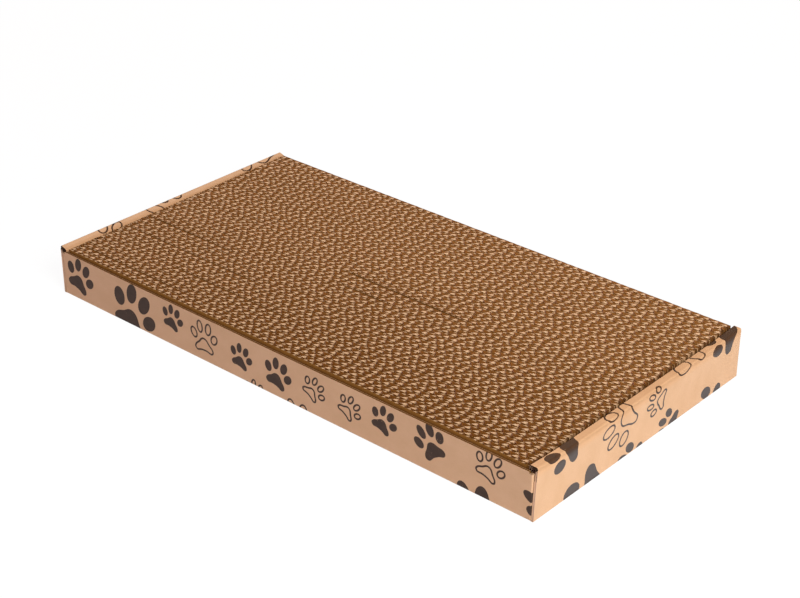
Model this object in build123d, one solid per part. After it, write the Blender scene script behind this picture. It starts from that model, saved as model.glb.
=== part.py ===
from build123d import *
import math
import os

# Corrugated cardboard cat scratcher: a reversible pad of board strips standing on edge,
# loose in a shallow tray folded from one blank, with double roll-over end walls.
# Millimetres, +Z up, +X along the length, -Y the front. The origin is the bottom centre.

# Pad: strips of double-wall board side by side, their flutes upright
strip_count = 41
strip_thickness = 5.94
pad_length = 466.0
pad_height = 38.9
flute_pitch = 12.0      # two flutes drawn for three 8 mm flutes of the board
flute_depth = 3.3
flute_land = 2.0        # plain stretch at each end of a strip
flute_stagger = 4.7     # shift of the flutes from one strip to the next

# Tray board and its creases
board = 1.8
crease_radius = 0.5     # inside radius of a folded crease
pad_clearance = 0.3     # between the pad and the long walls' creases
end_clearance = 0.4     # between the pad and the inner end walls
flap_clearance = 0.6    # each side of a corner flap inside its double end wall

# Tray heights
pad_proud = 2.9         # pad above the long walls' top edges
flap_drop = 1.5         # flap top below the long walls' top edges

# Corner flaps
flap_length = 95.0      # along the end wall
flap_end_slant = 12.0   # the free end leans back by this much at its top

# Roll-over rim
rim_gap = 0.3           # rim above the long walls' top edges
rim_lip = 1.2           # inside height of the rim at its inner fold
rim_slope = 20.0        # degrees, down towards the pad
rim_radius = 2.2

# Lock tabs under the inner walls and their slots in the base
tab_count = 2
tab_width = 40.0
tab_spacing = 120.0
tab_taper = 3.0         # each side, at the tab's foot
tab_lift = 0.2          # tab foot above the base's underside
slot_clearance = 0.4

# Tray sizes that follow from the pad
pad_width = strip_count * strip_thickness
crease_outer = crease_radius + board
wall_height = board + pad_height - pad_proud
flap_top = wall_height - flap_drop
flap_bottom = crease_outer + flap_clearance
rim_seam = wall_height + rim_gap
half_width = pad_width / 2 + pad_clearance + crease_outer

# Stations along +X through one end, from the pad outwards
x_inner = pad_length / 2 + end_clearance
x_inner_back = x_inner + board
x_flap_out = x_inner_back + flap_clearance + board
x_wall_in = x_flap_out + flap_clearance
x_end = x_wall_in + board
x_crease = x_end - crease_outer
x_wall_end = x_flap_out - crease_outer


def folded_leaf(height):
    """Section of a wall folded up from the base, with the crease's start at the origin and the wall at +X."""
    outer_start = (crease_outer, crease_outer)
    inner_start = (crease_radius, crease_outer)
    with BuildSketch(Plane.XZ) as section:
        with BuildLine():
            Line((0, board), (0, 0))
            RadiusArc((0, 0), outer_start, -crease_outer)
            Polyline(outer_start, (crease_outer, height), (crease_radius, height), inner_start)
            RadiusArc(inner_start, (0, board), crease_radius)
        make_face()
    return section.sketch


def base_panel():
    """Flat floor between the four base creases, with a slot under each lock tab."""
    floor = Pos(0, 0, board / 2) * Box(2 * x_crease, 2 * (half_width - crease_outer), board)
    slot = Box(board + 2 * slot_clearance, tab_width + 2 * slot_clearance, 3 * board)
    for side in (-1, 1):
        for y in tab_places():
            floor -= Pos(side * (x_inner + board / 2), y, board / 2) * slot
    return floor


def tab_places():
    """Middles of the lock tabs across the tray."""
    first = -tab_spacing * (tab_count - 1) / 2
    return [first + tab_spacing * i for i in range(tab_count)]


def front_wall():
    """Single long wall, folded up from the base, with its upper edge left raw."""
    leaf = extrude(folded_leaf(wall_height), x_wall_end, both=True)
    return Pos(0, -(half_width - crease_outer), 0) * Rot(0, 0, -90) * leaf


def front_right_flap():
    """End of the front wall, folded round its upright crease and lying along the end wall."""
    y_out = -half_width
    y_fold = y_out + crease_outer
    y_free = y_out + flap_length
    x_flap_in = x_flap_out - board
    with BuildSketch() as section:
        with BuildLine():
            Line((x_wall_end, y_out + board), (x_wall_end, y_out))
            RadiusArc((x_wall_end, y_out), (x_flap_out, y_fold), -crease_outer)
            Polyline((x_flap_out, y_fold), (x_flap_out, y_free), (x_flap_in, y_free), (x_flap_in, y_fold))
            RadiusArc((x_flap_in, y_fold), (x_wall_end, y_out + board), crease_radius)
        make_face()
    flap = Pos(0, 0, flap_bottom) * extrude(section.sketch, flap_top - flap_bottom)
    with BuildSketch(Plane.YZ) as corner:
        with BuildLine():
            Polyline((y_free, flap_bottom), (y_free, flap_top), (y_free - flap_end_slant, flap_top), close=True)
        make_face()
    return flap - extrude(corner.sketch, x_end)


def right_end_wall():
    """Outer leaf of the end, the full width of the tray, up to the rim."""
    leaf = extrude(folded_leaf(rim_seam), half_width, both=True)
    return Pos(x_crease, 0, 0) * leaf


def right_end_rim():
    """Roll-over top of the end: a sloping roof with a rounded fold on each side, open at its two ends."""
    slope = math.radians(rim_slope)
    roof_drop = board / math.cos(slope)
    inside_low = rim_seam + rim_lip
    inside_high = inside_low + (x_wall_in - x_inner_back) * math.tan(slope)
    roof_low = inside_low + roof_drop - board * math.tan(slope)
    roof_high = roof_low + (x_end - x_inner) * math.tan(slope)
    with BuildSketch(Plane.XZ) as section:
        with BuildLine():
            FilletPolyline(
                (x_inner, rim_seam), (x_inner, roof_low), (x_end, roof_high), (x_end, rim_seam),
                radius=rim_radius,
            )
            Line((x_end, rim_seam), (x_inner, rim_seam))
        make_face()
        with BuildLine():
            Polyline(
                (x_inner_back, rim_seam),
                (x_inner_back, inside_low),
                (x_wall_in, inside_high),
                (x_wall_in, rim_seam),
                close=True,
            )
        make_face(mode=Mode.SUBTRACT)
    return extrude(section.sketch, half_width, both=True)


def right_inner_wall():
    """Inner leaf of the end, standing on the base as wide as the pad, with tapered lock tabs in the slots."""
    with BuildSketch(Plane.YZ) as face:
        with Locations((0, (board + rim_seam) / 2)):
            Rectangle(pad_width, rim_seam - board)
        for y in tab_places():
            half = tab_width / 2
            half_foot = half - tab_taper
            with BuildLine():
                Polyline(
                    (y - half, board),
                    (y - half_foot, tab_lift),
                    (y + half_foot, tab_lift),
                    (y + half, board),
                    close=True,
                )
            make_face()
    return Pos(x_inner, 0, 0) * extrude(face.sketch, board)


def strip(number):
    """One strip on edge: a flat face towards the front, open upright flutes towards the back."""
    shift = number * flute_stagger % flute_pitch
    first = -pad_length / 2 + flute_land + shift
    flutes = int((pad_length - 2 * flute_land - shift) // flute_pitch)
    outline = [(-pad_length / 2, strip_thickness), (-pad_length / 2, 0), (pad_length / 2, 0)]
    outline.append((pad_length / 2, strip_thickness))
    for i in reversed(range(flutes)):
        start = first + i * flute_pitch
        outline.append((start + flute_pitch, strip_thickness))
        outline.append((start + flute_pitch / 2, strip_thickness - flute_depth))
    outline.append((first, strip_thickness))
    with BuildSketch() as section:
        with BuildLine():
            Polyline(*outline, close=True)
        make_face()
    return Pos(0, -pad_width / 2 + number * strip_thickness, board) * extrude(section.sketch, pad_height)


def tray_nodes():
    """The thirteen panels of the folded blank; the left and back ones mirror the right and front ones."""
    flap = front_right_flap()
    nodes = {"base_panel": base_panel(), "front_wall": front_wall()}
    nodes["back_wall"] = mirror(nodes["front_wall"], Plane.XZ)
    nodes["front_right_flap"] = flap
    nodes["front_left_flap"] = mirror(flap, Plane.YZ)
    nodes["back_right_flap"] = mirror(flap, Plane.XZ)
    nodes["back_left_flap"] = mirror(nodes["back_right_flap"], Plane.YZ)
    ends = {"end_wall": right_end_wall(), "end_rim": right_end_rim(), "inner_wall": right_inner_wall()}
    for name, leaf in ends.items():
        nodes["right_" + name] = leaf
        nodes["left_" + name] = mirror(leaf, Plane.YZ)
    return nodes


def pad_nodes():
    """The strips of the pad, from the front to the back."""
    return {f"strip_{number + 1:02d}": strip(number) for number in range(strip_count)}


os.makedirs("parts", exist_ok=True)
for name, solid in {**tray_nodes(), **pad_nodes()}.items():
    export_step(solid, f"parts/{name}.step")
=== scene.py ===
import bisect
import cmath
import math
import random
from typing import Callable, NamedTuple

import bpy
import numpy as np
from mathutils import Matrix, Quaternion, Vector
from mathutils.geometry import delaunay_2d_cdt


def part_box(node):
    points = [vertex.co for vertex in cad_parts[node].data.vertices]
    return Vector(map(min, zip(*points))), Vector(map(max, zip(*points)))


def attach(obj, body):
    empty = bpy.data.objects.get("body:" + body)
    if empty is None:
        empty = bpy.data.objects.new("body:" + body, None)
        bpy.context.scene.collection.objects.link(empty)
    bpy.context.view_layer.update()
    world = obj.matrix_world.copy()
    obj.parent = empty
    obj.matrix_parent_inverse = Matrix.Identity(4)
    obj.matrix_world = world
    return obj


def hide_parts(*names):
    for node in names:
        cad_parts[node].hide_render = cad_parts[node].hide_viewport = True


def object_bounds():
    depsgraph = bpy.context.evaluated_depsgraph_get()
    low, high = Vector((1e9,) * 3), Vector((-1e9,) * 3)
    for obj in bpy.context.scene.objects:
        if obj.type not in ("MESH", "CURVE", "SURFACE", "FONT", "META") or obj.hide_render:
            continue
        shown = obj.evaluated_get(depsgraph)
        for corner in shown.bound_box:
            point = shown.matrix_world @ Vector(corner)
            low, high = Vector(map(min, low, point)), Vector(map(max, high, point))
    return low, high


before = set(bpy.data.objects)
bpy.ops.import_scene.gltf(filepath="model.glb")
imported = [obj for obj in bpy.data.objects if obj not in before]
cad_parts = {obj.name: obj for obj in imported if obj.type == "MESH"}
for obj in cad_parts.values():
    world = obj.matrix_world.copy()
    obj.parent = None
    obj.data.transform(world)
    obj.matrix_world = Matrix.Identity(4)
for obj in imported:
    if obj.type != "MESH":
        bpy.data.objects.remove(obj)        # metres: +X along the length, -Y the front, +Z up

# Looks of a corrugated cardboard cat scratcher. The pad's strips are real double-wall board, with
# three liners and two fluted layers each, and the tray is real folded board with a printed outer liner.
# All lengths below are millimetres, unless a name says otherwise.

MM = 0.001
cad_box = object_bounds()


def box_mm(node):
    """Lowest and highest corners of a CAD node in millimetres."""
    low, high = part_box(node)
    return low / MM, high / MM


# Sizes of the tray, read from the frame
base_low, base_high = box_mm("base_panel")
wall_low, wall_high = box_mm("front_wall")
flap_low, flap_high = box_mm("front_right_flap")
end_high = box_mm("right_end_wall")[1]
inner_low, inner_high = box_mm("right_inner_wall")
BOARD = base_high.z - base_low.z
CREASE = wall_high.y - wall_low.y            # room that the frame gives to a folded crease
CREASE_RADIUS = 0.5                          # outside radius of the crease as folded
CORNER_RADIUS = 0.6                          # and of a long wall's upright fold
CREASE_START = CREASE_RADIUS * (2 - math.pi / 2) - CREASE    # a wall's flat height where its crease starts
HALF_LENGTH = end_high.x
HALF_WIDTH = end_high.y
BASE_HALF_LENGTH = base_high.x
BASE_HALF_WIDTH = base_high.y
WALL_TOP = wall_high.z
RIM_SEAM = end_high.z
INNER_FACE = inner_low.x
INNER_HALF_WIDTH = inner_high.y
INNER_FOOT = base_high.z
RIM_HIGHEST = cad_box[1][2] / MM

# Shapes that the frame's boxes do not give
RIM_OUTER_RADIUS = 1.2
RIM_INNER_RADIUS = 0.7
RIM_SETBACK = 0.4        # the rim ends a little short of the end wall's raw sides
SETBACK_START = 1.0      # from this far above the seam
SETBACK_FULL = 2.0       # and fully from here
RIM_CLEARANCE = 0.02     # the left-hand rim stays this far below the frame's top
LEFT_RIM_SLOPE = math.radians(20)    # down towards the pad
RIGHT_RIM_SLOPE = 0.0
RIGHT_RIM_DROP = 0.6     # the right-hand rim is folded lower
RIGHT_RIM_SAG = 1.7      # and sags between its ends
RIGHT_SLANT = 2.2        # and the front side of that end leans back
SLANT_REACH = 40.0       # as far as this from the corner
END_DENT = 0.25          # an end wall's middle sinks in by up to this much
FLAP_SLANT = 12.0
LEFT_FLAP_SHIFT = 0.5    # a long wall's left flap lies close against the end wall
WALL_LEAN = 0.2          # a long wall's top leans in on the pad, more in some places than in others
WALL_WAVE = 0.15
WALL_SAG = 0.8           # and its top edge sags between its ends
TAB_PLACES = (-60.0, 60.0)
TAB_WIDTH = 40.0
TAB_TAPER = 3.0
SLOT_CLEARANCE = 0.4

# The tray's thin board: two liners and a fine fluted layer
TRAY_LINER = 0.28
TRAY_MEDIUM = 0.22
TRAY_PITCH = 3.2
WAVE_STEPS = 8
PANEL_STEP = 16.0        # a panel is divided along its length by this much
ROW_STEP = 9.0           # and across it by this much
FOLD_STEP = math.radians(14)
SHARP_ANGLE = math.radians(50)   # an edge that turns by more than this is shaded sharp
SUPPORT = 0.35           # extra rows beside a fold, which keep the shading of the flat panel flat
PINCH = 0.02             # least radius left inside a sharp fold
CORE_INSET = 0.25        # the crushed layer at a die-cut edge, below the liners' edges
CORE_DEPTH = 2.5
FLAP_TRIM = 0.15         # a flap's fluted layer stays this far inside its liners' edges
INNER_TRIM = 0.12        # and an inner wall's this far

# The pad's double-wall board
STRIP_COUNT = 41
strip_low, strip_high = box_mm("strip_01")
PAD_MIDDLE = (strip_low.z + strip_high.z) / 2
PAD_HALF_HEIGHT = (strip_high.z - strip_low.z) / 2
PAD_SHORT = 0.7          # the strips end this far short of the frame's, which leaves a dark gap at the rims
PAD_END = strip_high.x - PAD_SHORT
END_REACH = 0.1          # a cut edge this near to a strip's end belongs to the end
PAD_LINER = 0.24
PAD_MEDIUM = 0.2
FINE_CAVITY = 2.0        # between the front and the middle liner
FINE_PITCH = 5.8
COARSE_PITCH = 8.03
FLUTE_STEP = 5.2         # the flutes move this far to the left from one strip to the next behind it
FLUTE_STRAY = 2.2        # and stray from that, in radians of a flute
LINER_STEP = 2.6
STRIP_GAP = 0.03         # mean gap between two strips that are pressed together
STEP_DOWN = 0.3          # a strip is cut lower than its place by up to this much
LINER_CUT = 0.3          # and its edges run unevenly by up to this much
FLUTE_CUT = 0.35
LINER_LEAN = 0.0         # the liners stand straight
FLUTE_LEAN = 0.25        # and the flutes lean along the strip
PITCH_STRAY = 0.005      # share by which a layer's pitch may differ
FLUTE_DRIFT = 0.35       # radians by which its flutes drift along the strip
FLUTE_CRUSH = 0.07       # half of the share by which they are flattened in places
EDGE_STRETCH = 1.5       # limit to the thickness of the paper where it slopes
SLOPE_STEP = 0.05        # half of the stretch over which that slope is measured
PAD_FRONT_LIFT = -0.5    # the pad lies a little lower at the front
PAD_BACK_LIFT = 1.2      # and higher at the back
OPEN_SEAMS = {           # strip behind the seam: the gap, and its start and stop along the strip
    3: (0.7, -235, -120),
    7: (0.6, -150, -20),
    11: (0.7, -233, -80),
    15: (1.1, -240, -130),
    18: (1.15, -30, 22),
    21: (1.3, -45, 85),
    29: (0.7, 40, 150),
}
SEAM_FADE = 12.0         # length over which a seam closes at its ends
SEAM_STRAY = 0.2         # share by which its gap varies
STRIP_SEED = 100


# Folded paths

class FoldPath:
    """A line of straight runs and rounded left-hand folds; its outer side is on the right."""

    def __init__(self, corners, radii):
        self.starts = []
        self.runs = []
        self.folds = []
        self.length = 0.0
        point = corners[0]
        for before, corner, after, radius in zip(corners, corners[1:], corners[2:], radii):
            heading = cmath.phase(corner - before)
            turn = cmath.phase((after - corner) / (corner - before))
            tangent = radius * math.tan(turn / 2)
            stop = corner - cmath.rect(tangent, heading)
            self._add(point, heading, abs(stop - point), 0.0)
            self.folds.append((self.length, self.length + radius * turn))
            self._add(stop, heading, radius * turn, radius)
            point = corner + cmath.rect(tangent, heading + turn)
        self._add(point, cmath.phase(corners[-1] - point), abs(corners[-1] - point), 0.0)

    def _add(self, point, heading, length, radius):
        self.starts.append(self.length)
        self.runs.append((point, heading, radius))
        self.length += length

    def at(self, length, depth):
        """The point at this length along the outer side, moved in by the depth."""
        index = max(bisect.bisect_right(self.starts, length) - 1, 0)
        point, heading, radius = self.runs[index]
        along = length - self.starts[index]
        if radius == 0:
            return point + cmath.rect(along, heading) - cmath.rect(depth, heading - math.pi / 2)
        centre = point + cmath.rect(radius, heading + math.pi / 2)
        reach = max(radius - depth, PINCH)
        return centre + cmath.rect(reach, heading + along / radius - math.pi / 2)

    def fold_rows(self):
        """Lengths that divide each fold, with a support row on either side."""
        rows = []
        for (start, stop), (_, _, radius) in zip(self.folds, self.runs[1::2]):
            steps = max(2, round((stop - start) / radius / FOLD_STEP))
            rows += [start - SUPPORT, stop + SUPPORT]
            rows += [start + (stop - start) * i / steps for i in range(steps + 1)]
        return rows


class Panel(NamedTuple):
    """One flat sheet of points and faces, and whether each face carries ink."""
    points: list
    faces: list
    inked: list


def cut_panel(outline, columns, rows, inks=(), holes=()):
    """A panel with this outline, divided along columns and rows, with inked shapes and cut-outs."""
    points = []
    shapes = []

    def add(loop):
        shapes.append(list(range(len(points), len(points) + len(loop))))
        points.extend(Vector((p.real, p.imag)) for p in loop)
        return len(shapes) - 1

    outline_id = add(outline)
    hole_ids = {add(hole) for hole in holes}
    ink_ids = [(add(outer), add(inner) if inner else None) for outer, inner in inks]
    low_u, high_u = min(p.real for p in outline), max(p.real for p in outline)
    low_v, high_v = min(p.imag for p in outline), max(p.imag for p in outline)
    lines = []
    for u in columns:
        if low_u < u < high_u:
            lines.append((len(points), len(points) + 1))
            points += [Vector((u, low_v)), Vector((u, high_v))]
    for v in rows:
        if low_v < v < high_v:
            lines.append((len(points), len(points) + 1))
            points += [Vector((low_u, v)), Vector((high_u, v))]
    inside_constraints = 1
    closeness = 1e-5
    cut = delaunay_2d_cdt(points, lines, shapes, inside_constraints, closeness, True)
    cut_points, _, cut_faces, _, _, face_origins = cut
    faces, inked = [], []
    for face, origins in zip(cut_faces, face_origins):
        origins = set(origins)
        if outline_id not in origins or origins & hole_ids:
            continue
        faces.append(face)
        inked.append(any(a in origins and b not in origins for a, b in ink_ids))
    used = sorted({i for face in faces for i in face})
    number = {old: new for new, old in enumerate(used)}
    faces = [tuple(number[i] for i in face) for face in faces]
    return Panel([complex(*cut_points[i]) for i in used], faces, inked)


def grid_panel(columns, rows):
    """A plain panel of four-sided faces."""
    points = [complex(u, v) for v in rows for u in columns]
    wide = len(columns)
    faces = []
    for j in range(len(rows) - 1):
        for i in range(wide - 1):
            a = j * wide + i
            faces.append((a, a + 1, a + wide + 1, a + wide))
    return Panel(points, faces, [False] * len(faces))


# Meshes

def value_at(value, place):
    """A plain value, or what a function gives at a flat place."""
    return value(place) if callable(value) else value


class MeshParts:
    """Gathers closed sheets and makes one object of them."""

    def __init__(self):
        self.points = []
        self.flat = []
        self.faces = []
        self.slots = []

    def add_sheet(self, panel, place, near, far, near_slot, far_slot, edge_slot, ink_slot=None):
        """A closed sheet between two depths; depths and slots may be functions of the flat place."""
        start = len(self.points)
        count = len(panel.points)
        for depth in (near, far):
            for p in panel.points:
                self.points.append(place(p.real, p.imag, value_at(depth, p)))
                self.flat.append(p)
        edges = set()
        for face, inked in zip(panel.faces, panel.inked):
            first = panel.points[face[0]]
            self._face([start + i for i in face], ink_slot if inked else value_at(near_slot, first))
            self._face([start + count + i for i in reversed(face)], value_at(far_slot, first))
            edges.update(zip(face, face[1:] + face[:1]))
        for a, b in sorted(edges):
            if (b, a) not in edges:
                slot = value_at(edge_slot, panel.points[a])
                a, b = a + start, b + start
                self._face([a, a + count, b + count, b], slot)

    def _face(self, corners, slot):
        self.faces.append(corners)
        self.slots.append(slot)

    def build(self, name, materials, blank=None):
        """The object, in metres, with its flat places on the blank as a UV map."""
        mesh = bpy.data.meshes.new(name)
        mesh.from_pydata([[c * MM for c in p] for p in self.points], [], self.faces)
        for material in materials:
            mesh.materials.append(material)
        mesh.polygons.foreach_set("material_index", self.slots)
        used = np.empty(len(mesh.loops), np.int32)
        mesh.loops.foreach_get("vertex_index", used)
        flat = np.array(self.flat, complex)
        if blank:
            flat = blank(flat)
        places = np.stack([flat.real, flat.imag], 1)[used].astype(np.float32)
        mesh.uv_layers.new(name="blank").uv.foreach_set("vector", places.ravel())
        mesh.polygons.foreach_set("use_smooth", [True] * len(mesh.polygons))
        mesh.set_sharp_from_angle(angle=SHARP_ANGLE)
        mesh.update()
        piece = bpy.data.objects.new(name, mesh)
        bpy.context.scene.collection.objects.link(piece)
        return piece


def ripple(rng, *lengths):
    """A smooth random curve between -1 and 1 with waves of about these lengths."""
    waves = [(2 * math.pi / (w * rng.uniform(0.85, 1.15)), rng.uniform(0, 2 * math.pi)) for w in lengths]
    return lambda x: sum(math.sin(k * x + phase) for k, phase in waves) / len(waves)


# Printed paws, in the flat of the printed side: a place, a width, a turn and a style

HEEL = 4
WHOLE = (0, 1, 2, 3, HEEL)


class Paw(NamedTuple):
    """A paw print on the flat blank, whole or with only some of its four toes and its heel pad."""
    place: complex
    width: float
    turn: float
    solid: bool
    marks: tuple = WHOLE


# Shape of a paw one unit wide: toes as (place, half width, half length, lean), and the heel pad's outline
PAW_TOES = (
    (-0.380 + 0.030j, 0.125, 0.170, 25),
    (-0.161 + 0.278j, 0.115, 0.190, 8),
    (0.144 + 0.289j, 0.120, 0.190, -8),
    (0.356 + 0.056j, 0.125, 0.165, -28),
)
PAW_HEEL = (-0.02 - 0.01j, 0.085 - 0.045j, 0.185 - 0.15j, 0.30 - 0.25j, 0.33 - 0.36j, 0.245 - 0.435j,
            0.08 - 0.405j, -0.10 - 0.415j, -0.265 - 0.465j, -0.36 - 0.385j, -0.325 - 0.265j,
            -0.215 - 0.16j, -0.12 - 0.045j)
PAW_LINE = 1.5           # width of the line of an outlined paw
TOE_POINTS = 22
HEEL_STEPS = 5


def toe_loop(toe, width, shrink):
    """Outline of one toe at this paw width, drawn in by shrink."""
    place, half_width, half_length, lean = toe
    turn = cmath.rect(1, math.radians(lean))
    loop = []
    for i in range(TOE_POINTS):
        angle = 2 * math.pi * i / TOE_POINTS
        x = (half_width * width - shrink) * math.cos(angle)
        y = (half_length * width - shrink) * math.sin(angle)
        loop.append(place * width + turn * complex(x, y))
    return loop


def heel_loop(width, shrink):
    """Outline of the heel pad, a closed smooth curve, drawn in by shrink."""
    knots = [p * width for p in reversed(PAW_HEEL)]
    count = len(knots)
    loop = []
    for i in range(count):
        a, b, c, d = (knots[(i + k - 1) % count] for k in range(4))
        for step in range(HEEL_STEPS):
            t = step / HEEL_STEPS
            point = b + 0.5 * t * (c - a + t * (2 * a - 5 * b + 4 * c - d + t * (3 * (b - c) + d - a)))
            slope = 0.5 * (c - a + 2 * t * (2 * a - 5 * b + 4 * c - d) + 3 * t * t * (3 * (b - c) + d - a))
            loop.append(point + 1j * shrink * slope / abs(slope))
    return loop


def paw_shapes(paw):
    """Inked shapes of a paw: pairs of an outer loop and, for an outlined paw, the loop inside its line."""
    turn = cmath.rect(1, paw.turn)

    def loop(mark, shrink):
        shape = heel_loop(paw.width, shrink) if mark == HEEL else toe_loop(PAW_TOES[mark], paw.width, shrink)
        return [paw.place + turn * p for p in shape]

    return [(loop(mark, 0.0), None if paw.solid else loop(mark, PAW_LINE)) for mark in paw.marks]


# Paws of the front and of the ends: along the wall, height, width, clockwise degrees, style
SOLID, LINE = True, False
FRONT_PAWS = (
    (-217.6, 21.3, 32, 22, SOLID),
    (-153.4, 13.0, 49.2, 24, SOLID),
    (-107.9, 24.6, 23.3, 17.5, SOLID),
    (-72.9, 20.7, 29.7, 1, LINE),
    (-33.1, 19.4, 23.1, 15, SOLID),
    (-19.3, -6.3, 23, 17, LINE),
    (5.2, 19.8, 27.5, 16.5, SOLID),
    (24, -14.3, 39, 1, LINE),
    (41.7, 21.5, 22.8, 37, LINE),
    (76.5, 20.3, 22.7, 37.5, LINE),
    (108.8, 23.7, 24.2, 23, SOLID),
    (135.6, -11, 23, 20, SOLID),
    (150.9, 24.6, 29.2, -30, SOLID),
    (191.8, -17.6, 53, -9, SOLID),
    (203, 27.3, 26.3, 22, LINE),
    (247.5, 17.7, 33, -55.5, SOLID, (0, 1)),
)
RIGHT_PAWS = (
    (-92.8, 45.4, 40, -75, SOLID),
    (-68.6, -11.8, 55, -126, SOLID),
    (-28.8, 31.2, 40, -116, LINE),
    (-13.9, -6.7, 33, -86, SOLID),
    (15.8, 30, 25, -75, LINE),
    (32.8, 1.2, 28, -80, SOLID),
    (57, 62.6, 54, -75, LINE),
    (85.5, -8.5, 40, -97, SOLID),
    (103.6, 47.8, 40, -52, SOLID),
)
LEFT_PAWS = (
    (-98, 46.8, 46, 26.5, LINE),
    (11.8, 51.7, 50, 139.5, LINE),
    (77.2, 56.6, 38, -112.5, LINE),
)
OTHER_PAW_WIDTHS = (23, 25, 28, 31, 40, 48)
OTHER_PAW_TILT = (-40, 35)
OTHER_PAW_SEED = 11
OTHER_PAW_TRIES = 6000
OTHER_SOLID_SHARE = 0.6
PAW_REACH = 0.6          # a paw lies within this share of its width
PAW_ROOM = 0.6           # least distance between two paws, as a share of their widths together


class Wall(NamedTuple):
    """How a wall's own flat coordinates lie on the blank: a quarter turn and a shift."""
    turn: complex
    shift: complex

    def to_blank(self, place):
        return self.turn * place + self.shift

    def from_blank(self, place):
        return (place - self.shift) / self.turn


SIDE_SHIFT = BASE_HALF_WIDTH - CREASE_START
END_SHIFT = BASE_HALF_LENGTH - CREASE_START
BASE = Wall(1, 0)
FRONT = Wall(1, 1j * SIDE_SHIFT)
BACK = Wall(-1, -1j * SIDE_SHIFT)
RIGHT = Wall(-1j, END_SHIFT)
LEFT = Wall(1j, -END_SHIFT)


def drawn_paws(wall, rows):
    """Paws that are listed one by one for one wall, on the blank."""
    paws = []
    for along, height, width, tilt, *style in rows:
        turn = cmath.phase(wall.turn) - math.radians(tilt)
        paws.append(Paw(wall.to_blank(complex(along, height)), width, turn, *style))
    return paws


def scattered_paws(taken):
    """Paws of the same kind over the rest of the blank, clear of each other."""
    rng = random.Random(OTHER_PAW_SEED)
    paws = list(taken)
    reach = complex(END_SHIFT + 2 * WALL_TOP, SIDE_SHIFT + WALL_TOP)
    for _ in range(OTHER_PAW_TRIES):
        place = complex(rng.uniform(-reach.real, reach.real), rng.uniform(-reach.imag, reach.imag))
        width = rng.choice(OTHER_PAW_WIDTHS)
        turn = math.radians(rng.uniform(*OTHER_PAW_TILT))
        solid = rng.random() < OTHER_SOLID_SHARE
        by_hand = place.imag > SIDE_SHIFT - width / 2 or place.real > END_SHIFT - width / 2
        if not by_hand and all(abs(place - p.place) > PAW_ROOM * (width + p.width) for p in paws):
            paws.append(Paw(place, width, turn, solid))
    return paws


hand_paws = drawn_paws(FRONT, FRONT_PAWS) + drawn_paws(RIGHT, RIGHT_PAWS) + drawn_paws(LEFT, LEFT_PAWS)
all_paws = scattered_paws(hand_paws)


def inks_on(wall, outline):
    """The inked shapes that reach a wall's outline, in the wall's own coordinates."""
    low = complex(min(p.real for p in outline), min(p.imag for p in outline))
    high = complex(max(p.real for p in outline), max(p.imag for p in outline))
    inks = []
    for paw in all_paws:
        place = wall.from_blank(paw.place)
        reach = PAW_REACH * paw.width
        if not low.real - reach < place.real < high.real + reach:
            continue
        if not low.imag - reach < place.imag < high.imag + reach:
            continue
        turn = paw.turn - cmath.phase(wall.turn)
        inks += paw_shapes(Paw(place, paw.width, turn, paw.solid, paw.marks))
    return inks


# Materials

WHITE = (1.0, 1.0, 1.0)
MIX_UNDER, MIX_OVER, MIX_RESULT = 6, 7, 2    # a Mix node's sockets for colours


def add_node(tree, kind, inputs=None, **settings):
    """A new node with these settings and inputs; an input may be a value or another node's output."""
    made = tree.nodes.new(kind)
    for key, value in settings.items():
        setattr(made, key, value)
    for key, value in (inputs or {}).items():
        if isinstance(value, bpy.types.NodeSocket):
            tree.links.new(value, made.inputs[key])
        else:
            made.inputs[key].default_value = value
    return made


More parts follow.
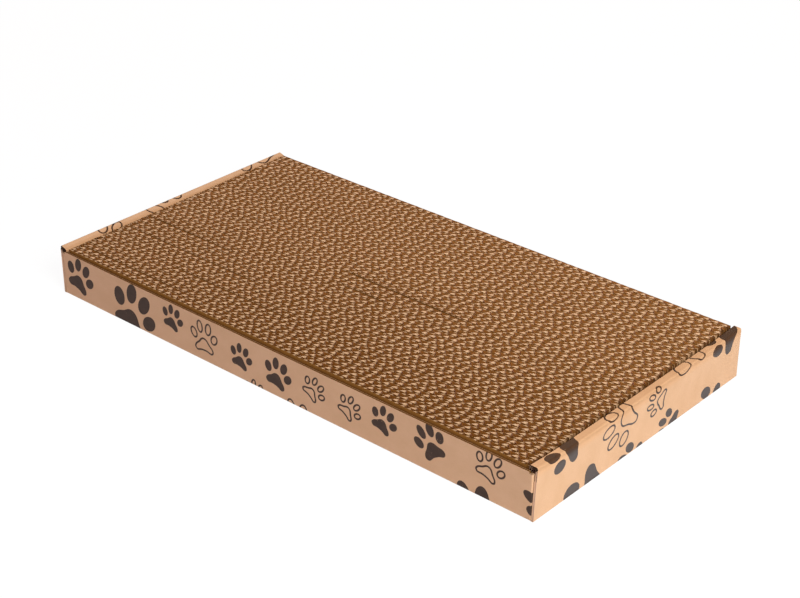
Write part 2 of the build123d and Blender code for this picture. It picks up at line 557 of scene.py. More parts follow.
class Look:
    """A material in the making: its nodes, and short ways to add and join them."""

    def __init__(self, name, colour, roughness=0.8, specular=0.25):
        self.material = bpy.data.materials.new(name)
        self.material.use_nodes = True
        self.tree = self.material.node_tree
        self.shader = self.tree.nodes["Principled BSDF"]
        self.shader.inputs["Roughness"].default_value = roughness
        self.shader.inputs["Specular IOR Level"].default_value = specular
        self.shader.inputs["Base Color"].default_value = (*colour, 1)
        self.colour = colour
        self.normal = None

    def node(self, kind, inputs=None, **settings):
        return add_node(self.tree, kind, inputs, **settings)

    def maths(self, operation, a, b=0.0):
        return self.node("ShaderNodeMath", {0: a, 1: b}, operation=operation).outputs[0]

    def places(self, source, stretch):
        """Object coordinates in millimetres, or flat places on the blank, each axis divided by stretch."""
        if source == "blank":
            start = self.node("ShaderNodeUVMap", uv_map="blank").outputs["UV"]
            scale = [1 / s for s in stretch]
        else:
            start = self.node("ShaderNodeTexCoord").outputs["Object"]
            scale = [1 / (s * MM) for s in stretch]
        return self.node("ShaderNodeMapping", {"Vector": start, "Scale": scale}).outputs["Vector"]

    def part(self, source, axis):
        """One coordinate, in millimetres."""
        return self.node("ShaderNodeSeparateXYZ", {"Vector": self.places(source, (1, 1, 1))}).outputs[axis]

    def tint_front(self, tint):
        """Tints the colour more and more from the pad's middle to its front, and less on the left."""
        nearness = self.ramp(self.part("object", "Y"), 0.25 * HALF_WIDTH, -0.9 * HALF_WIDTH)
        rightness = self.ramp(self.part("object", "X"), -0.9 * HALF_LENGTH, 0.1 * HALF_LENGTH, 0.3, 1.0)
        self.blend(self.maths("MULTIPLY", nearness, rightness), tint, "MULTIPLY")

    def noise(self, source, stretch, detail=3.0, roughness=0.55):
        where = self.places(source, stretch)
        made = self.node("ShaderNodeTexNoise", {"Vector": where, "Scale": 1.0, "Detail": detail,
                                                "Roughness": roughness})
        return made.outputs["Fac"]

    def ramp(self, value, low, high, out_low=0.0, out_high=1.0):
        """The value moved from one range to another and held within it."""
        made = self.node("ShaderNodeMapRange", {"Value": value, "From Min": low, "From Max": high,
                                                "To Min": out_low, "To Max": out_high})
        return made.outputs["Result"]

    def blend(self, share, colour, mode="MIX"):
        """Lays a colour over what is there so far, by this share."""
        under = self.colour if isinstance(self.colour, bpy.types.NodeSocket) else (*self.colour, 1)
        inputs = {"Factor": share, MIX_UNDER: under, MIX_OVER: (*colour, 1)}
        made = self.node("ShaderNodeMix", inputs, data_type="RGBA", blend_type=mode)
        self.colour = made.outputs[MIX_RESULT]
        self.tree.links.new(self.colour, self.shader.inputs["Base Color"])

    def bump(self, height, distance_mm):
        """Adds a height, in millimetres at a value of 1, to the surface."""
        inputs = {"Height": height, "Distance": distance_mm * MM, "Strength": 1.0}
        if self.normal:
            inputs["Normal"] = self.normal
        self.normal = self.node("ShaderNodeBump", inputs).outputs["Normal"]
        self.tree.links.new(self.normal, self.shader.inputs["Normal"])

    def rough(self, value):
        self.tree.links.new(value, self.shader.inputs["Roughness"])


def kraft_board(name, colour, washboard, open_end_shade=WHITE):
    """Brown liner of the tray: clouded, fibrous and flecked, yellower on the rims with painted warm light,
    with faint ribs, painted shade on the right-hand ridge and down the left-hand slope, and this tint of
    painted shade at the rims' open ends."""
    look = Look(name, colour)
    dark = tuple(c * k for c, k in zip(colour, (0.86, 0.82, 0.76)))
    light = tuple(min(c * k, 1.0) for c, k in zip(colour, (1.06, 1.08, 1.12)))
    fleck = tuple(c * k for c, k in zip(colour, (0.62, 0.55, 0.48)))
    clouds = look.noise("blank", (26, 18, 20), 4.0)
    look.blend(look.ramp(clouds, 0.35, 0.75, 0.0, 0.55), dark)
    fibres = look.noise("blank", (5.0, 0.35, 1.0), 4.0, 0.65)
    look.blend(look.ramp(fibres, 0.45, 0.75, 0.0, 0.5), light)
    cross = look.noise("blank", (0.4, 3.0, 1.0), 3.0, 0.65)
    look.blend(look.ramp(cross, 0.52, 0.78, 0.0, 0.35), dark)
    specks = look.noise("blank", (0.9, 0.7, 1.0), 2.0, 0.5)
    look.blend(look.ramp(specks, 0.70, 0.78, 0.0, 0.55), fleck)
    to_right = look.part("blank", "X")
    along_end = look.maths("SUBTRACT", look.maths("ABSOLUTE", to_right), END_SHIFT)
    along_right = look.maths("SUBTRACT", to_right, END_SHIFT)
    # Painted warm light on the rims, and painted shade on the right-hand ridge, down the left-hand slope and
    # at the rims' open ends
    look.blend(look.ramp(along_right, RIM_SEAM - 5, RIM_SEAM + 1), RIM_WARM_LIGHT, "MULTIPLY")
    from_ridge = look.maths("ABSOLUTE", look.maths("SUBTRACT", along_right, RIM_SEAM + 2))
    look.blend(look.ramp(from_ridge, 3.0, 0.5), RIDGE_SHADE, "MULTIPLY")
    along_left = look.maths("SUBTRACT", look.maths("MULTIPLY", to_right, -1), END_SHIFT)
    look.blend(look.ramp(along_left, RIM_SEAM - 5, RIM_SEAM + 1, 0.0, LEFT_RIM_WARM_LIGHT), RIM_WARM_LIGHT, "MULTIPLY")
    look.blend(look.ramp(along_left, RIM_SEAM + 7, RIM_SEAM + 10), LEFT_SLOPE_SHADE, "MULTIPLY")
    to_side = look.ramp(look.maths("ABSOLUTE", look.part("blank", "Y")), HALF_WIDTH - 6, HALF_WIDTH - 3)
    in_rim = look.ramp(along_end, RIM_SEAM - 4, RIM_SEAM - 1)
    look.blend(look.maths("MULTIPLY", to_side, in_rim), open_end_shade, "MULTIPLY")
    across = look.places("blank", (TRAY_PITCH, 1, 1))
    ribs = look.node("ShaderNodeTexWave", {"Vector": across, "Scale": 0.5, "Distortion": 0.6, "Detail": 1.0})
    look.bump(ribs.outputs["Fac"], washboard)
    look.bump(fibres, 0.05)
    look.bump(look.noise("blank", (0.22, 0.22, 1), 2.0), 0.02)
    look.rough(look.ramp(clouds, 0.3, 0.7, 0.66, 0.82))
    return look.material


def print_ink(name, colour, kraft):
    """Dark water-based ink soaked into the liner, thin in places, with a painted sheen on the ends and
    painted warm light on the rims, and with specks that it missed."""
    look = Look(name, colour, 0.62, 0.15)
    worn = look.noise("blank", (9, 7, 8), 4.0)
    lighter = tuple(c * 1.5 + 0.012 for c in colour)
    look.blend(look.ramp(worn, 0.4, 0.75, 0.0, 0.8), lighter)
    grain = look.noise("blank", (0.5, 0.35, 1), 3.0, 0.6)
    look.blend(look.ramp(grain, 0.55, 0.8, 0.0, 0.5), lighter)
    along_end = look.maths("SUBTRACT", look.maths("ABSOLUTE", look.part("blank", "X")), END_SHIFT)
    on_end = look.maths("MULTIPLY", look.ramp(along_end, 0, 2), look.ramp(along_end, RIM_SEAM, RIM_SEAM - 5))
    # Painted sheen on the ink on the ends, and painted warm light on the ink on the rims
    look.blend(look.maths("MULTIPLY", on_end, INK_SHEEN_SHARE), INK_SHEEN)
    look.blend(look.ramp(along_end, RIM_SEAM - 2, RIM_SEAM + 2), INK_WARM_LIGHT, "MULTIPLY")
    misses = look.noise("blank", (0.8, 0.7, 1), 1.0, 0.4)
    patches = look.noise("blank", (16, 12, 1), 1.0)
    amount = look.maths("ADD", misses, look.ramp(patches, 0.5, 0.7, -0.08, 0.08))
    look.blend(look.ramp(amount, 0.76, 0.80, 0.0, 0.85), kraft)
    look.bump(grain, 0.03)
    look.rough(look.ramp(worn, 0.3, 0.7, 0.55, 0.75))
    return look.material


def cut_paper(name, colour, spread, front=WHITE):
    """Raw cut edge of board, fibrous and a little uneven in tone, with this tint at the pad's front."""
    look = Look(name, colour, 0.9, 0.1)
    dark = tuple(c * 0.68 for c in colour)
    fibres = look.noise("object", (0.35, 0.35, 0.35), 3.0, 0.65)
    look.blend(look.ramp(fibres, 0.4, 0.75, 0.0, spread), dark)
    tone = look.noise("object", (7, 7, 7), 2.0)
    look.blend(look.ramp(tone, 0.4, 0.7, 0.0, 0.4), dark)
    look.tint_front(front)
    look.bump(fibres, 0.12)
    return look.material


def pad_paper(name, colour, spread, front):
    """Brown paper of the pad's board: uneven, with painted shade deep down and at the ends, and tinted at the
    front.
    """
    look = Look(name, colour, 0.85, 0.15)
    dark = tuple(c * k for c, k in zip(colour, (0.70, 0.64, 0.56)))
    light = tuple(min(c * k, 1.0) for c, k in zip(colour, (1.22, 1.26, 1.32)))
    sheets = look.noise("object", (120, 1.1, 90), 1.0)
    look.blend(look.ramp(sheets, 0.35, 0.7, 0.0, spread), dark)
    runs = look.noise("object", (5, 2.2, 14), 3.0)
    look.blend(look.ramp(runs, 0.45, 0.75, 0.0, spread), light)
    fibres = look.noise("object", (0.5, 0.5, 2.4), 3.0, 0.6)
    look.blend(look.ramp(fibres, 0.45, 0.75, 0.0, 0.35), dark)
    # Painted shade deep in the pad
    from_middle = look.maths("ABSOLUTE", look.maths("SUBTRACT", look.part("object", "Z"), PAD_MIDDLE))
    below = look.maths("SUBTRACT", PAD_HALF_HEIGHT, from_middle)
    look.blend(look.ramp(below, 1.5, 6.0, 0.0, 0.75), DEEP_SHADE, "MULTIPLY")
    look.tint_front(front)
    # Painted shade at the pad's ends
    to_right = look.part("object", "X")
    look.blend(look.ramp(to_right, PAD_END - 2.5, PAD_END - 0.5), END_SHADE, "MULTIPLY")
    look.blend(look.ramp(to_right, 2.5 - PAD_END, 0.5 - PAD_END, 0.0, LEFT_END_SHADE), END_SHADE, "MULTIPLY")
    look.bump(fibres, 0.06)
    return look.material


# Colours of the board and the ink, and tints that multiply them, many of these tints being painted light and
# shade
KRAFT = (0.73, 0.447, 0.255)
INK = (0.055, 0.032, 0.022)
INK_SHEEN = (0.115, 0.098, 0.09)         # painted sheen on the ink on the ends
INK_SHEEN_SHARE = 0.75
INK_WARM_LIGHT = (1.0, 0.7, 0.38)          # painted warm light on the ink on the rims
RIM_WARM_LIGHT = (1.0, 0.91, 0.79)           # painted warm light on the liner rolled over a rim
LEFT_RIM_WARM_LIGHT = 0.35                   # and how much of that painted warm light the left-hand rim shows
RIDGE_SHADE = (0.86, 0.87, 0.88)            # painted shade on the ridge of the right-hand rim, which damps its highlight
LEFT_SLOPE_SHADE = (0.84, 0.77, 0.68)      # painted shade down the slope of the left-hand rim
OPEN_END_SHADE = (0.1, 0.08, 0.07)         # painted shade inside a rim near its open ends
DEEP_SHADE = (0.42, 0.30, 0.20)            # painted shade on paper deep in the pad
END_SHADE = (0.5, 0.44, 0.36)         # painted shade on paper at the pad's right-hand end
LEFT_END_SHADE = 0.4                      # and how much of that painted shade the left-hand end shows
FRONT_LINER = (0.76, 0.68, 0.5)      # liners at the pad's front
FRONT_MEDIUM = (0.91, 0.9, 0.89)     # flutes there

kraft = kraft_board("kraft_liner", KRAFT, 0.035)
# the inside liner, with painted shade at the rims' open ends
kraft_inside = kraft_board("kraft_inside", (0.60, 0.37, 0.21), 0.05, OPEN_END_SHADE)
ink = print_ink("paw_ink", INK, KRAFT)
raw_edge = cut_paper("tray_raw_edge", (0.80, 0.52, 0.34), 0.3)
# painted shade on the long walls' raw edges, standing in for the shade in their open flutes
top_edge_shade = cut_paper("tray_top_edge", (0.17, 0.07, 0.014), 0.4)
# painted shade on the raw edges at the rims' open ends
rim_end_shade = cut_paper("tray_rim_end", (0.10, 0.055, 0.03), 0.6)
pad_liner = pad_paper("pad_liner", (0.44, 0.193, 0.046), 0.4, FRONT_LINER)
# painted shade: a darker copy of the liner paper for the faces inside the fine flutes
fine_liner_shaded = pad_paper("pad_fine_liner", (0.30, 0.128, 0.027), 0.4, FRONT_LINER)
pad_medium = pad_paper("pad_medium", (0.94, 0.595, 0.35), 0.5, FRONT_MEDIUM)
# painted shade: a darker copy of the flute paper for the fine flutes
fine_medium_shaded = pad_paper("pad_fine_medium", (0.78, 0.485, 0.275), 0.5, FRONT_MEDIUM)
pad_cut = cut_paper("pad_cut_edge", (0.30, 0.133, 0.031), 0.6, FRONT_LINER)
# painted shade on the strips' end faces
pad_end_shade = cut_paper("pad_strip_end_shade", (0.17, 0.075, 0.02), 0.6)
# painted shade on the pad's outer faces, the first strip's front and the last strip's back
pad_face_shade = pad_paper("pad_front_liner_shade", (0.30, 0.13, 0.022), 0.3, WHITE)
# painted shadow on a strip's front along an open seam
pad_seam_shadow = pad_paper("pad_open_seam_shadow", (0.18, 0.08, 0.016), 0.4, WHITE)

# Material slots of the tray's boards and of the pad's strips
TRAY_LOOKS = [kraft, kraft_inside, raw_edge, ink, top_edge_shade, rim_end_shade]
OUTSIDE, INSIDE, EDGE, INKED, TOP_EDGE_SHADE, RIM_END_SHADE = range(6)
PAD_LOOKS = [pad_liner, pad_medium, pad_cut, pad_face_shade, pad_end_shade, pad_seam_shadow, fine_liner_shaded, fine_medium_shaded]
LINER, MEDIUM, CUT, SHADED_FACE, STRIP_END_SHADE, SEAM_SHADOW, SHADED_FINE_LINER, SHADED_FINE_MEDIUM = range(8)


# Tray

class Fold(NamedTuple):
    """Places a wall's flat coordinates in space: a plan line, a section line, a half turn and dents."""
    plan: FoldPath
    section: FoldPath
    turned: bool
    dent: Callable

    def place(self, u, v, depth):
        sunk, sag, slide = self.dent(u, v)
        section = self.section.at(v - CREASE_START, depth + sunk)
        plan = self.plan.at(u + slide + self.plan.length / 2, -section.real)
        if self.turned:
            plan = -plan
        return plan.real, plan.imag, section.imag * (1 - sag)


def stations(start, stop, step):
    """Evenly spaced values from start to stop, about a step apart."""
    count = max(1, math.ceil((stop - start) / step))
    return [start + (stop - start) * i / count for i in range(count + 1)]


def tray_board(name, wall, fold, outline, mediums, cores, edge, nodes, holes=()):
    """A folded board: printed outer liner, inner liner, and fluted layers and crushed edges between them."""
    columns = [c - fold.plan.length / 2 for c in fold.plan.fold_rows()]
    columns += stations(-fold.plan.length / 2, fold.plan.length / 2, PANEL_STEP)
    rows = [r + CREASE_START for r in fold.section.fold_rows()]
    rows += stations(CREASE_START, CREASE_START + fold.section.length, ROW_STEP)
    parts = MeshParts()
    printed = cut_panel(outline, columns, rows, inks_on(wall, outline), holes)
    parts.add_sheet(printed, fold.place, 0.0, TRAY_LINER, OUTSIDE, INSIDE, edge, INKED)
    plain = cut_panel(outline, columns, rows, (), holes)
    parts.add_sheet(plain, fold.place, BOARD - TRAY_LINER, BOARD, INSIDE, INSIDE, edge)
    add_mediums(parts, fold, mediums)
    for low, high in cores:
        across = sorted({c for c in columns + [low.real, high.real] if low.real <= c <= high.real})
        along = sorted({r for r in rows + [low.imag, high.imag] if low.imag <= r <= high.imag})
        core = grid_panel(across, along)
        parts.add_sheet(core, fold.place, TRAY_LINER, BOARD - TRAY_LINER, INSIDE, INSIDE, edge)
    piece = parts.build(name, TRAY_LOOKS, wall.to_blank)
    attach(piece, "tray")
    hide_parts(*nodes)


def add_mediums(parts, fold, mediums):
    """Fluted layers, each over a range of u and v, with the waves along u or along v."""
    swing = (BOARD - 2 * TRAY_LINER - TRAY_MEDIUM) / 2
    wave = 2 * math.pi / TRAY_PITCH
    step = TRAY_PITCH / WAVE_STEPS
    for low, high, along_u in mediums:
        columns = stations(low.real, high.real, step if along_u else PANEL_STEP)
        rows = stations(low.imag, high.imag, high.imag - low.imag if along_u else step)

        def depth(p, side):
            phase = wave * (p.real if along_u else p.imag)
            slope = swing * wave * math.cos(phase)
            return BOARD / 2 + swing * math.sin(phase) + side * TRAY_MEDIUM / 2 * math.hypot(1, slope)

        panel = grid_panel(columns, rows)
        parts.add_sheet(panel, fold.place, lambda p: depth(p, -1), lambda p: depth(p, 1),
                        INSIDE, INSIDE, EDGE)


def mirrored(half):
    """A closed outline from its right half, listed upwards."""
    return half + [complex(-p.real, p.imag) for p in reversed(half)]


def side_board(side, wall, turned, seed):
    """A long wall with its two corner flaps, from one free end to the other."""
    rng = random.Random(seed)
    free_end = flap_high.y
    left = -flap_high.x - LEFT_FLAP_SHIFT
    plan = FoldPath(
        [complex(left, free_end), complex(left, -HALF_WIDTH),
         complex(flap_high.x, -HALF_WIDTH), complex(flap_high.x, free_end)],
        [CORNER_RADIUS, CORNER_RADIUS],
    )
    section = FoldPath([complex(-CREASE, 0), 0j, complex(0, WALL_TOP)], [CREASE_RADIUS])
    flap_end = plan.length / 2
    corner = plan.folds[1][1] - flap_end
    half = [
        complex(corner, CREASE_START),
        complex(corner, flap_low.z),
        complex(flap_end, flap_low.z),
        complex(flap_end - FLAP_SLANT, flap_high.z),
        complex(wall_high.x, flap_high.z),
        complex(wall_high.x, WALL_TOP),
    ]
    bow = ripple(rng, 310, 140, 75)

    def dent(u, v):
        """How far the wall has sunk in and the share by which it sags, nothing at its ends, and no lean."""
        rise = min(max((v - CREASE) / (WALL_TOP - CREASE), 0), 1)
        span = max(1 - (u / wall_high.x) ** 4, 0)
        return rise ** 1.5 * span * (WALL_LEAN + WALL_WAVE * bow(u)), span * WALL_SAG / WALL_TOP, 0.0

    mediums = [(complex(-wall_high.x, CREASE + SUPPORT), complex(wall_high.x, WALL_TOP - CORE_DEPTH), True)]
    for start, stop in ((wall_high.x, flap_end - FLAP_SLANT), (FLAP_SLANT - flap_end, -wall_high.x)):
        mediums.append((complex(start, flap_low.z + FLAP_TRIM), complex(stop, flap_high.z - FLAP_TRIM), True))
    cores = [(complex(-wall_high.x, WALL_TOP - CORE_DEPTH), complex(wall_high.x, WALL_TOP - CORE_INSET))]
    fold = Fold(plan, section, turned, dent)
    nodes = [f"{side}_wall", f"{side}_left_flap", f"{side}_right_flap"]
    # the long walls' raw edges get painted shade
    tray_board(f"{side}_board", wall, fold, mirrored(half), mediums, cores, TOP_EDGE_SHADE, nodes)


class Rim(NamedTuple):
    """How an end is folded: the rim's slope, its top and its sag, and how far the front side leans back."""
    slope: float
    top: float
    sag: float
    slant: float


def end_board(side, wall, rim, turned, seed):
    """A roll-over end: outer wall, rounded rim, and inner wall with its lock tabs, in one board."""
    rng = random.Random(seed)
    depth = HALF_LENGTH - INNER_FACE
    roof_high = rim.top + RIM_OUTER_RADIUS * (math.tan(rim.slope) + 1 / math.cos(rim.slope) - 1)
    roof_low = roof_high - depth * math.tan(rim.slope)
    section = FoldPath(
        [complex(-CREASE, 0), 0j, complex(0, roof_high),
         complex(-depth, roof_low), complex(-depth, inner_low.z)],
        [CREASE_RADIUS, RIM_OUTER_RADIUS, RIM_INNER_RADIUS],
    )
    plan = FoldPath([complex(HALF_LENGTH, -HALF_WIDTH), complex(HALF_LENGTH, HALF_WIDTH)], [])
    end = CREASE_START + section.length
    foot = end - (INNER_FOOT - inner_low.z)
    seam = end - (RIM_SEAM - inner_low.z)
    tabs = []
    for place in sorted((p for p in TAB_PLACES if p > 0), reverse=True):
        tabs += [complex(place + TAB_WIDTH / 2, foot), complex(place + TAB_WIDTH / 2 - TAB_TAPER, end),
                 complex(place - TAB_WIDTH / 2 + TAB_TAPER, end), complex(place - TAB_WIDTH / 2, foot)]

    half = [
        complex(HALF_WIDTH, CREASE_START),
        complex(HALF_WIDTH, RIM_SEAM + SETBACK_START),
        complex(HALF_WIDTH - RIM_SETBACK, RIM_SEAM + SETBACK_FULL),
        complex(HALF_WIDTH - RIM_SETBACK, seam),
        complex(INNER_HALF_WIDTH, seam),
        complex(INNER_HALF_WIDTH, foot),
    ] + tabs
    bow = ripple(rng, 170, 80)

    def dent(u, v):
        """How far the outer wall sinks in, by what share it sags, and how far its front side leans back."""
        rise = max((v - CREASE) * (RIM_SEAM - v), 0) * 4 / (RIM_SEAM - CREASE) ** 2
        span = 1 - (u / HALF_WIDTH) ** 6
        lean = min(max(v, 0) / RIM_SEAM, 1) * max(1 - (u + HALF_WIDTH) / SLANT_REACH, 0)
        return END_DENT * rise * (0.5 + 0.5 * bow(u)), span * rim.sag / rim.top, rim.slant * lean

    inner_side = INNER_HALF_WIDTH - INNER_TRIM
    mediums = [
        (complex(CORE_DEPTH - HALF_WIDTH, CREASE + SUPPORT), complex(HALF_WIDTH - CORE_DEPTH, seam), False),
        (complex(-inner_side, seam), complex(inner_side, foot - INNER_TRIM), False),
    ]
    cores = []
    for sign in (-1, 1):
        sides = sorted((sign * (HALF_WIDTH - CORE_INSET), sign * (HALF_WIDTH - CORE_DEPTH)))
        cores.append((complex(sides[0], CREASE_START), complex(sides[1], RIM_SEAM)))
    fold = Fold(plan, section, turned, dent)

    def edge(p):
        """The open ends of the rim get painted shade between their liners."""
        return RIM_END_SHADE if RIM_SEAM < p.imag < seam else EDGE

    nodes = [f"{side}_end_wall", f"{side}_end_rim", f"{side}_inner_wall"]
    tray_board(f"{side}_end_board", wall, fold, mirrored(half), mediums, cores, edge, nodes)


class FlatFold:
    """The base: flat, printed side down, with its front edge at the top of the flat coordinates."""

    def __init__(self):
        self.plan = FoldPath([complex(-BASE_HALF_LENGTH, 0), complex(BASE_HALF_LENGTH, 0)], [])
        self.section = FoldPath([complex(0, 0), complex(0, 2 * BASE_HALF_WIDTH)], [])

    def place(self, u, v, depth):
        return u, -v, depth


def base_board():
    """The floor of the tray with its four slots."""
    corner = complex(BASE_HALF_LENGTH, BASE_HALF_WIDTH)
    outline = mirrored([corner.conjugate(), corner])
    half = complex(BOARD / 2 + SLOT_CLEARANCE, TAB_WIDTH / 2 + SLOT_CLEARANCE)
    holes = []
    for x in (INNER_FACE + BOARD / 2, -INNER_FACE - BOARD / 2):
        for y in TAB_PLACES:
            place = complex(x, y)
            holes.append([place - half, place + half.conjugate(), place + half, place - half.conjugate()])
    tray_board("base_board", BASE, FlatFold(), outline, [], [], EDGE, ["base_panel"], holes)


base_board()
side_board("front", FRONT, turned=False, seed=3)
side_board("back", BACK, turned=True, seed=4)
right_rim = Rim(RIGHT_RIM_SLOPE, RIM_HIGHEST - RIGHT_RIM_DROP, RIGHT_RIM_SAG, RIGHT_SLANT)
left_rim = Rim(LEFT_RIM_SLOPE, RIM_HIGHEST - RIM_CLEARANCE, 0.0, 0.0)
end_board("right", RIGHT, right_rim, turned=False, seed=5)
end_board("left", LEFT, left_rim, turned=True, seed=6)


# Pad

def cut_slot(p):
    """The strips' ends get painted shade, darker than their upper and lower edges."""
    return STRIP_END_SHADE if abs(p.real) > PAD_END - END_REACH else CUT


def pad_strip(number):
    """One strip of the pad: liners and flutes on edge, cut a little unevenly."""
    rng = random.Random(STRIP_SEED + number)
    node = f"strip_{number:02d}"
    low, high = box_mm(node)
    thickness = high.y - low.y
    height = high.z - low.z
    seam, seam_start, seam_stop = OPEN_SEAMS.get(number, (0.0, 0.0, 0.0))
    squeeze = ripple(rng, 90, 41)
    back = (number - 1) / (STRIP_COUNT - 1)
    lift = PAD_FRONT_LIFT + (PAD_BACK_LIFT - PAD_FRONT_LIFT) * back
    step_down = rng.uniform(0.0, STEP_DOWN)
    coarse_cavity = thickness - 3 * PAD_LINER - FINE_CAVITY
    parts = MeshParts()

    def front_gap(x):
        """Gap in front of the strip: wide along an open seam and fine elsewhere."""
        opening = min(max(min(x - seam_start, seam_stop - x) / SEAM_FADE, 0), 1)
        seam_gap = seam * opening * (1 - SEAM_STRAY + SEAM_STRAY * squeeze(x))
        return STRIP_GAP * (1 + squeeze(x)) + seam_gap

    def place_for(cut, lean):
        """Places a sheet whose upper edge is cut by this curve and leans by that one."""
        def place(x, share, depth):
            gap = front_gap(x)
            inward = depth * (thickness - gap) / thickness
            top = height + lift - step_down - cut(x)
            end = max(1 - (x / PAD_END) ** 12, 0)
            return x + lean(x) * share * end, low.y + gap + inward, low.z + share * top
        return place

    def uneven(size):
        run = ripple(rng, 23, 9, 3.7)
        return lambda x: size * (0.5 + 0.5 * run(x))

    def leaning(size):
        run = ripple(rng, 60, 17)
        return lambda x: size * run(x)

    def front_slot(p):
        """The strip's front gets painted shadow along an open seam, and the first strip's front gets painted
        shade.
        """
        if number == 1:
            return SHADED_FACE
        return SEAM_SHADOW if seam_start < p.real < seam_stop else LINER

    for front, near, far in (
        (0.0, front_slot, SHADED_FINE_LINER),
        (PAD_LINER + FINE_CAVITY, SHADED_FINE_LINER, LINER),
        # the last strip's back gets the painted shade of the pad's outer faces
        (thickness - PAD_LINER, LINER, SHADED_FACE if number == STRIP_COUNT else LINER),
    ):
        place = place_for(uneven(LINER_CUT), leaning(LINER_LEAN))
        panel = grid_panel(stations(-PAD_END, PAD_END, LINER_STEP), [0.0, 1.0])
        parts.add_sheet(panel, place, front, front + PAD_LINER, near, far, cut_slot)

    for front, cavity, pitch, slot in (
        (PAD_LINER, FINE_CAVITY, FINE_PITCH, SHADED_FINE_MEDIUM),
        (2 * PAD_LINER + FINE_CAVITY, coarse_cavity, COARSE_PITCH, MEDIUM),
    ):
        start = 2 * math.pi * number * FLUTE_STEP / pitch + rng.uniform(-FLUTE_STRAY, FLUTE_STRAY)
        place = place_for(uneven(FLUTE_CUT), leaning(FLUTE_LEAN))
        add_flutes(parts, place, rng, front, cavity, pitch, start, slot)

    piece = parts.build(f"board_strip_{number:02d}", PAD_LOOKS)
    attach(piece, "pad")
    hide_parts(node)


def add_flutes(parts, place, rng, front, cavity, pitch, start, slot):
    """A fluted sheet between two liners, its pitch and height a little uneven."""
    own_pitch = pitch * rng.uniform(1 - PITCH_STRAY, 1 + PITCH_STRAY)
    drift = ripple(rng, 70, 33)
    crush = ripple(rng, 47, 19)
    swing = (cavity - PAD_MEDIUM) / 2
    middle = front + cavity / 2

    def wave(x):
        phase = start + 2 * math.pi * x / own_pitch + FLUTE_DRIFT * drift(x)
        return swing * (1 - FLUTE_CRUSH + FLUTE_CRUSH * crush(x)) * math.sin(phase)

    def depth(p, side):
        slope = (wave(p.real + SLOPE_STEP) - wave(p.real - SLOPE_STEP)) / (2 * SLOPE_STEP)
        return middle + wave(p.real) + side * PAD_MEDIUM / 2 * min(math.hypot(1, slope), EDGE_STRETCH)

    panel = grid_panel(stations(-PAD_END, PAD_END, own_pitch / WAVE_STEPS), [0.0, 1.0])
    parts.add_sheet(panel, place, lambda p: depth(p, -1), lambda p: depth(p, 1), slot, slot, cut_slot)


for strip_number in range(1, STRIP_COUNT + 1):
    pad_strip(strip_number)


# Floor, light and camera

FLOOR_HALF_M = 4.0
FLOOR_COLOUR = (0.6, 0.6, 0.6)
FLOOR_WHITE = 1.1        # what is seen of the floor where no shadow falls is plain white
SHADOW_SHARE = 0.14      # how much of the floor's own shading shows under the white
LIGHT_LEVEL = (0.40, 0.295, 0.51)    # even light of the studio: cooler from all round,
LIGHT_ABOVE = (0.155, 0.088, 0.02)   # warmer from above
KEY_COLOUR = (0.93, 1.0, 1.0)
KEY_PLACE_M = (1.68, -0.68, 1.416)
KEY_SIZE_M = 0.8
KEY_POWER = 54.0
FILL_COLOUR = (1.0, 0.85, 0.6)
FILL_PLACE_M = (-1.3, 1.3, 0.55)
FILL_SIZE_M = 1.0
FILL_POWER = 9.0
CAMERA_PLACE_M = (0.79852, -0.89227, 0.68139)
CAMERA_AIM_M = (-0.0038, 0.0199, 0.020)
CAMERA_ROLL = math.radians(0.17)
CAMERA_LENS_MM = 79.34
SENSOR_MM = 36.0


def seen_share(tree):
    """1 for what is seen directly, mirrored or through glass, and 0 for light that falls on the object."""
    rays = add_node(tree, "ShaderNodeLightPath").outputs
    share = rays["Is Camera Ray"]
    for name in ("Is Glossy Ray", "Is Transmission Ray"):
        share = add_node(tree, "ShaderNodeMath", {0: share, 1: rays[name]}, operation="MAXIMUM").outputs[0]
    return share


def make_floor():
    """A pale floor that looks white and keeps a faint shadow."""
    mesh = bpy.data.meshes.new("floor")
    side = FLOOR_HALF_M
    corners = [(-side, -side, 0), (side, -side, 0), (side, side, 0), (-side, side, 0)]
    mesh.from_pydata(corners, [], [(0, 1, 2, 3)])
    floor = bpy.data.objects.new("floor", mesh)
    bpy.context.scene.collection.objects.link(floor)
    look = Look("floor_white", FLOOR_COLOUR, roughness=0.9, specular=0.0)
    white = look.node("ShaderNodeEmission", {"Strength": FLOOR_WHITE}).outputs["Emission"]
    share = look.maths("MULTIPLY", seen_share(look.tree), 1 - SHADOW_SHARE)
    inputs = {"Fac": share, 1: look.shader.outputs["BSDF"], 2: white}
    both = look.node("ShaderNodeMixShader", inputs).outputs["Shader"]
    look.tree.links.new(both, look.tree.nodes["Material Output"].inputs["Surface"])
    mesh.materials.append(look.material)


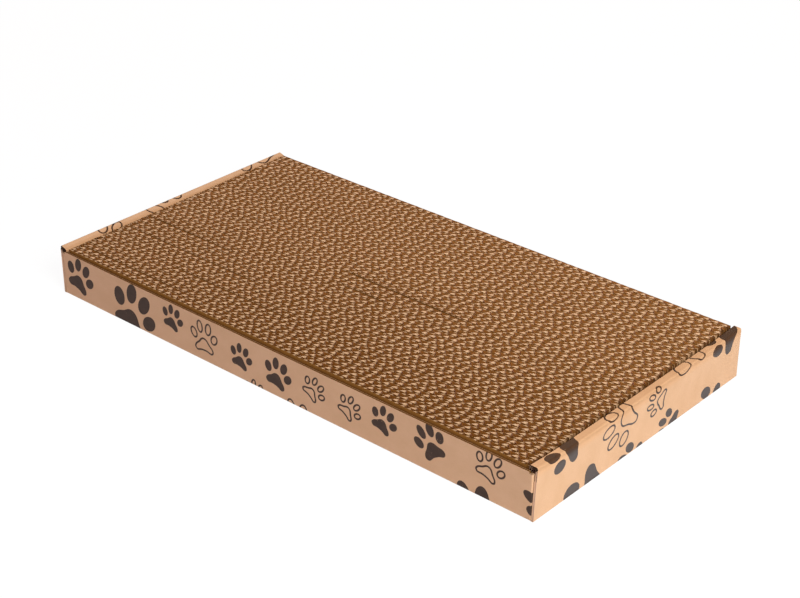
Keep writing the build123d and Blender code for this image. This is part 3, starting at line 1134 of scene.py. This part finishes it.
def make_world():
    """Even studio light, warmer from above; plain white where it is seen."""
    world = bpy.data.worlds.new("studio")
    world.use_nodes = True
    bpy.context.scene.world = world
    tree = world.node_tree
    direction = add_node(tree, "ShaderNodeTexCoord").outputs["Generated"]
    height = add_node(tree, "ShaderNodeSeparateXYZ", {"Vector": direction}).outputs["Z"]
    inputs = {"Factor": height, MIX_UNDER: (*LIGHT_LEVEL, 1), MIX_OVER: (*LIGHT_ABOVE, 1)}
    light = add_node(tree, "ShaderNodeMix", inputs, data_type="RGBA").outputs[MIX_RESULT]
    white = (FLOOR_WHITE, FLOOR_WHITE, FLOOR_WHITE, 1)
    inputs = {"Factor": seen_share(tree), MIX_UNDER: light, MIX_OVER: white}
    shown = add_node(tree, "ShaderNodeMix", inputs, data_type="RGBA").outputs[MIX_RESULT]
    tree.links.new(shown, tree.nodes["Background"].inputs["Color"])


def aim(thing, place, target):
    """Stands a lamp or camera at a place, looking at a target."""
    thing.location = place
    thing.rotation_mode = "QUATERNION"
    thing.rotation_quaternion = (Vector(target) - Vector(place)).to_track_quat("-Z", "Y")
    bpy.context.scene.collection.objects.link(thing)


def make_lamp(name, place, size, power, colour):
    """A square soft box that points at the object."""
    light = bpy.data.lights.new(name, "AREA")
    light.shape = "SQUARE"
    light.size = size
    light.energy = power
    light.color = colour
    aim(bpy.data.objects.new(name, light), place, (0, 0, 0))


def make_camera():
    """A long lens from the front right, as fitted to the tray's corners."""
    data = bpy.data.cameras.new("camera")
    data.sensor_fit = "HORIZONTAL"
    data.sensor_width = SENSOR_MM
    data.lens = CAMERA_LENS_MM
    data.clip_start = 0.05
    camera = bpy.data.objects.new("camera", data)
    aim(camera, CAMERA_PLACE_M, CAMERA_AIM_M)
    camera.rotation_quaternion = camera.rotation_quaternion @ Quaternion((0, 0, 1), CAMERA_ROLL)
    bpy.context.scene.camera = camera


make_floor()
make_world()
make_lamp("key", KEY_PLACE_M, KEY_SIZE_M, KEY_POWER, KEY_COLOUR)
make_lamp("fill", FILL_PLACE_M, FILL_SIZE_M, FILL_POWER, FILL_COLOUR)
make_camera()
bpy.context.scene.view_settings.view_transform = "Standard"
